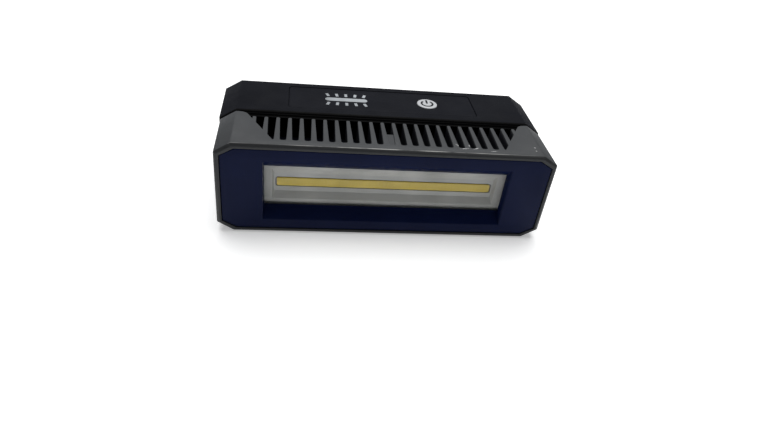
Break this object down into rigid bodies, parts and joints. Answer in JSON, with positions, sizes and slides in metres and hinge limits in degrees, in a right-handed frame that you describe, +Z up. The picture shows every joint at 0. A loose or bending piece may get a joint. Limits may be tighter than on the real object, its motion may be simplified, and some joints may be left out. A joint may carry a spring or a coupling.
{
  "type": "rechargeable led work light",
  "caption": "Boxy cordless work light: a finned grey lamp head with a lit bar in a navy bezel, on a black battery housing with a push button on top.",
  "frame": {"origin": "centre of the bounding box on the surface that the light stands on", "axes": "+X right along the lit bar, +Y from the lit front to the rear cover, +Z up"},
  "size_m": [0.1578, 0.065, 0.0472],
  "materials": {
    "head": "satin grey paint with fine grain, worn bright at the front edge",
    "core": "dark anodised",
    "bezel": "dark navy, semi-gloss",
    "lens": "clear",
    "seal": "matt black",
    "reflector": "pale grey white, satin",
    "phosphor": "yellow silicone over the light-emitting chips",
    "board_metal": "rolled",
    "pad": "soft grey",
    "screw": "zinc plated",
    "housing": "fine moulded grain",
    "film": "smooth satin",
    "button": "white, satin",
    "board": "green solder mask",
    "switch": "black",
    "cell": "shrink sleeve",
    "tab": "nickel strip",
    "socket": "tinned",
    "rubber": "matt black",
    "red_lead": "silicone insulation",
    "black_lead": "silicone insulation"
  },
  "bodies": {
    "root": {"fin_sleeve": "head", "heat_spreader": "core", "front_bezel": "bezel", "lens": "lens", "lens_seal": "seal", "reflector": "reflector", "led_strip": "phosphor", "led_board": "board_metal", "thermal_pad": "pad", "led_board_screw_1": "screw", "led_board_screw_2": "screw", "rear_housing": "housing", "rear_cover": "housing", "housing_screw_1": "screw", "housing_screw_2": "screw", "housing_screw_3": "screw", "housing_screw_4": "screw", "lead_grommet": "seal", "control_film": "film", "control_board": "board", "control_board_screw_1": "screw", "control_board_screw_2": "screw", "tact_switch": "switch", "driver_coil": "switch", "battery_cell_left": "cell", "battery_cell_right": "cell", "battery_cradle": "housing", "cell_tab_left": "tab", "cell_tab_middle": "tab", "cell_tab_right": "tab", "port_board": "board", "charge_socket": "socket", "socket_tongue": "switch", "led_lead_red": "red_lead", "led_lead_black": "black_lead", "battery_lead_red": "red_lead", "battery_lead_black": "black_lead"},
    "button": {"power_button": "button"},
    "port_flap": {"port_cover": "rubber"}
  },
  "joints": [
    {"name": "power_button_press", "type": "slide", "parent": "root", "child": "button", "axis": [0, 0, -1], "range_m": [0, 0.0006], "stiffness_N_per_m": 2500},
    {"name": "port_cover_hinge", "type": "hinge", "parent": "root", "child": "port_flap", "pos_m": [0.07795, 0.01705, 0.01995], "axis": [0, 1, 0], "range_deg": [0, 100]}
  ]
}
